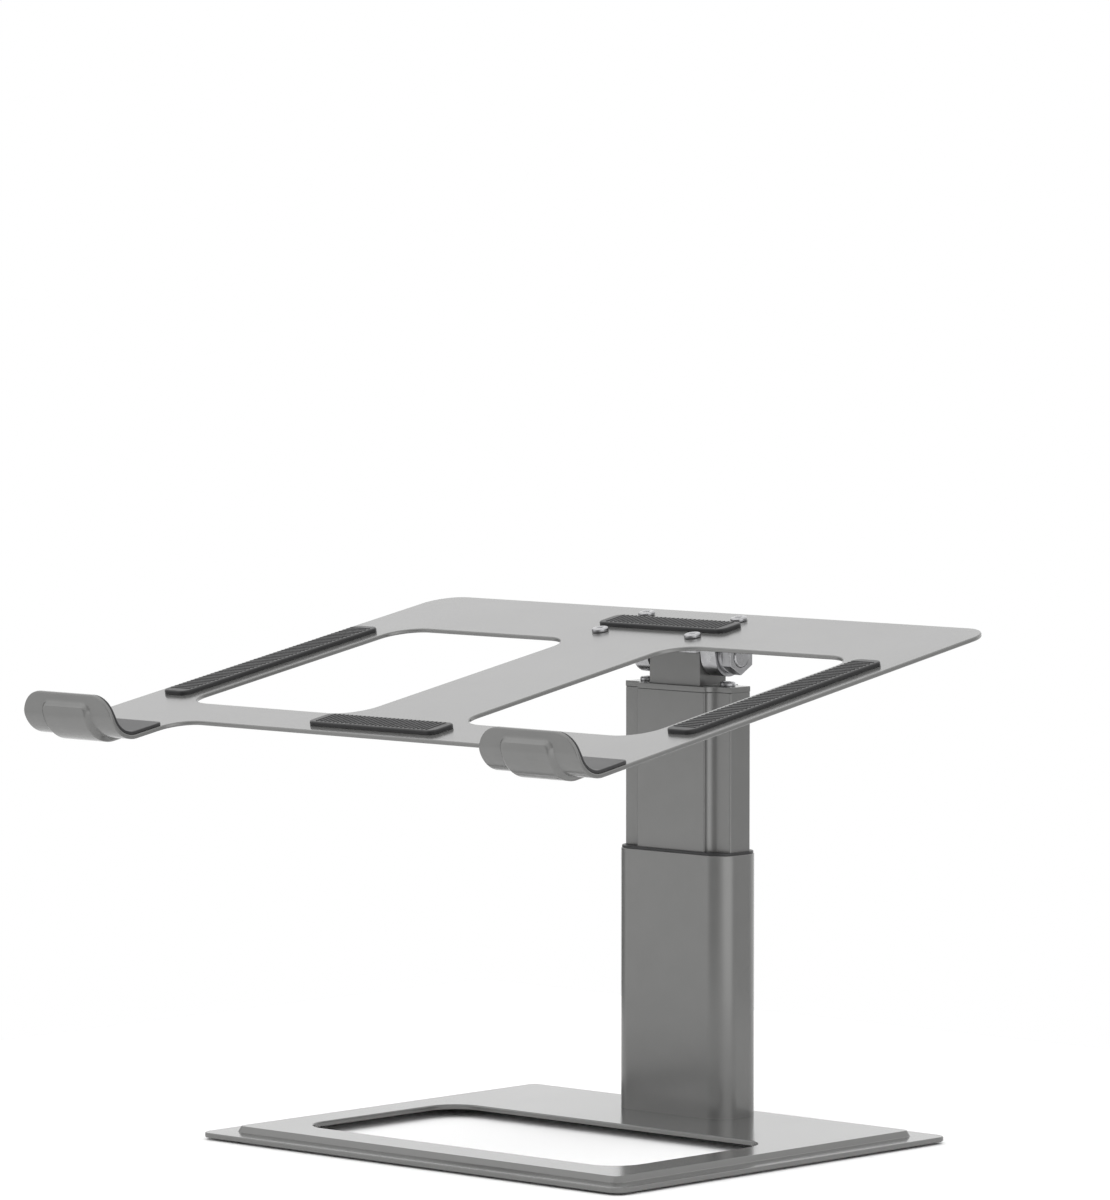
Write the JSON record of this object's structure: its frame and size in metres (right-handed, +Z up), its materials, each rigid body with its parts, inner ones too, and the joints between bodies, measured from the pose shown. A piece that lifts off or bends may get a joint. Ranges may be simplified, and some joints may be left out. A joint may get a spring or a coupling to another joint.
{
  "type": "laptop stand",
  "caption": "Height-adjustable laptop stand: pressed base plate with a cut-out, telescoping column, tilting tray with front hooks.",
  "frame": {"origin": "middle of the stand's outline at desk level, under the tray", "axes": "+X to the right as the user sits, +Y away from the user, +Z up; X is across the left-right symmetry plane"},
  "size_m": [0.2628, 0.2286, 0.1829],
  "materials": {
    "painted_grey_steel": "semi-gloss grey coat",
    "satin_grey_metal": "satin, fine-blasted grey anodised surface",
    "black_rubber": "matte",
    "black_silicone": "matte, smooth",
    "black_plastic": "matte",
    "pale_nylon": "matte",
    "zinc_steel": "zinc plated"
  },
  "bodies": {
    "base": {"base_plate": "painted_grey_steel", "foot_front_left": "black_rubber", "foot_front_right": "black_rubber", "foot_back_left": "black_rubber", "foot_back_right": "black_rubber", "sleeve": "satin_grey_metal", "sleeve_block": "zinc_steel", "base_screw_left": "zinc_steel", "base_screw_right": "zinc_steel", "guide_collar": "black_plastic"},
    "column": {"inner_column": "satin_grey_metal", "glide_shoe": "pale_nylon", "shoe_screw": "zinc_steel", "brake_pad": "black_plastic", "brake_spring_left": "zinc_steel", "brake_spring_right": "zinc_steel", "column_cap": "satin_grey_metal", "cap_screw_left": "zinc_steel", "cap_screw_right": "zinc_steel", "hinge_pin": "zinc_steel", "disc_spring": "zinc_steel", "hinge_nut": "zinc_steel"},
    "tray": {"tray_plate": "satin_grey_metal", "hinge_leaf": "zinc_steel", "friction_disc_left": "black_plastic", "friction_disc_right": "black_plastic", "leaf_screw_front_left": "zinc_steel", "leaf_screw_front_right": "zinc_steel", "leaf_screw_back_left": "zinc_steel", "leaf_screw_back_right": "zinc_steel", "hook_liner_left": "black_silicone", "hook_liner_right": "black_silicone", "pad_left": "black_silicone", "pad_right": "black_silicone", "pad_front": "black_silicone", "pad_back": "black_silicone"}
  },
  "joints": [
    {"name": "height_slide", "type": "slide", "parent": "base", "child": "column", "axis": [0, 0, 1], "range_m": [-0.05, 0.005]},
    {"name": "tray_tilt", "type": "hinge", "parent": "column", "child": "tray", "pos_m": [0, 0.08821, 0.1689], "axis": [1, 0, 0], "range_deg": [-10.3, 19.7]}
  ]
}
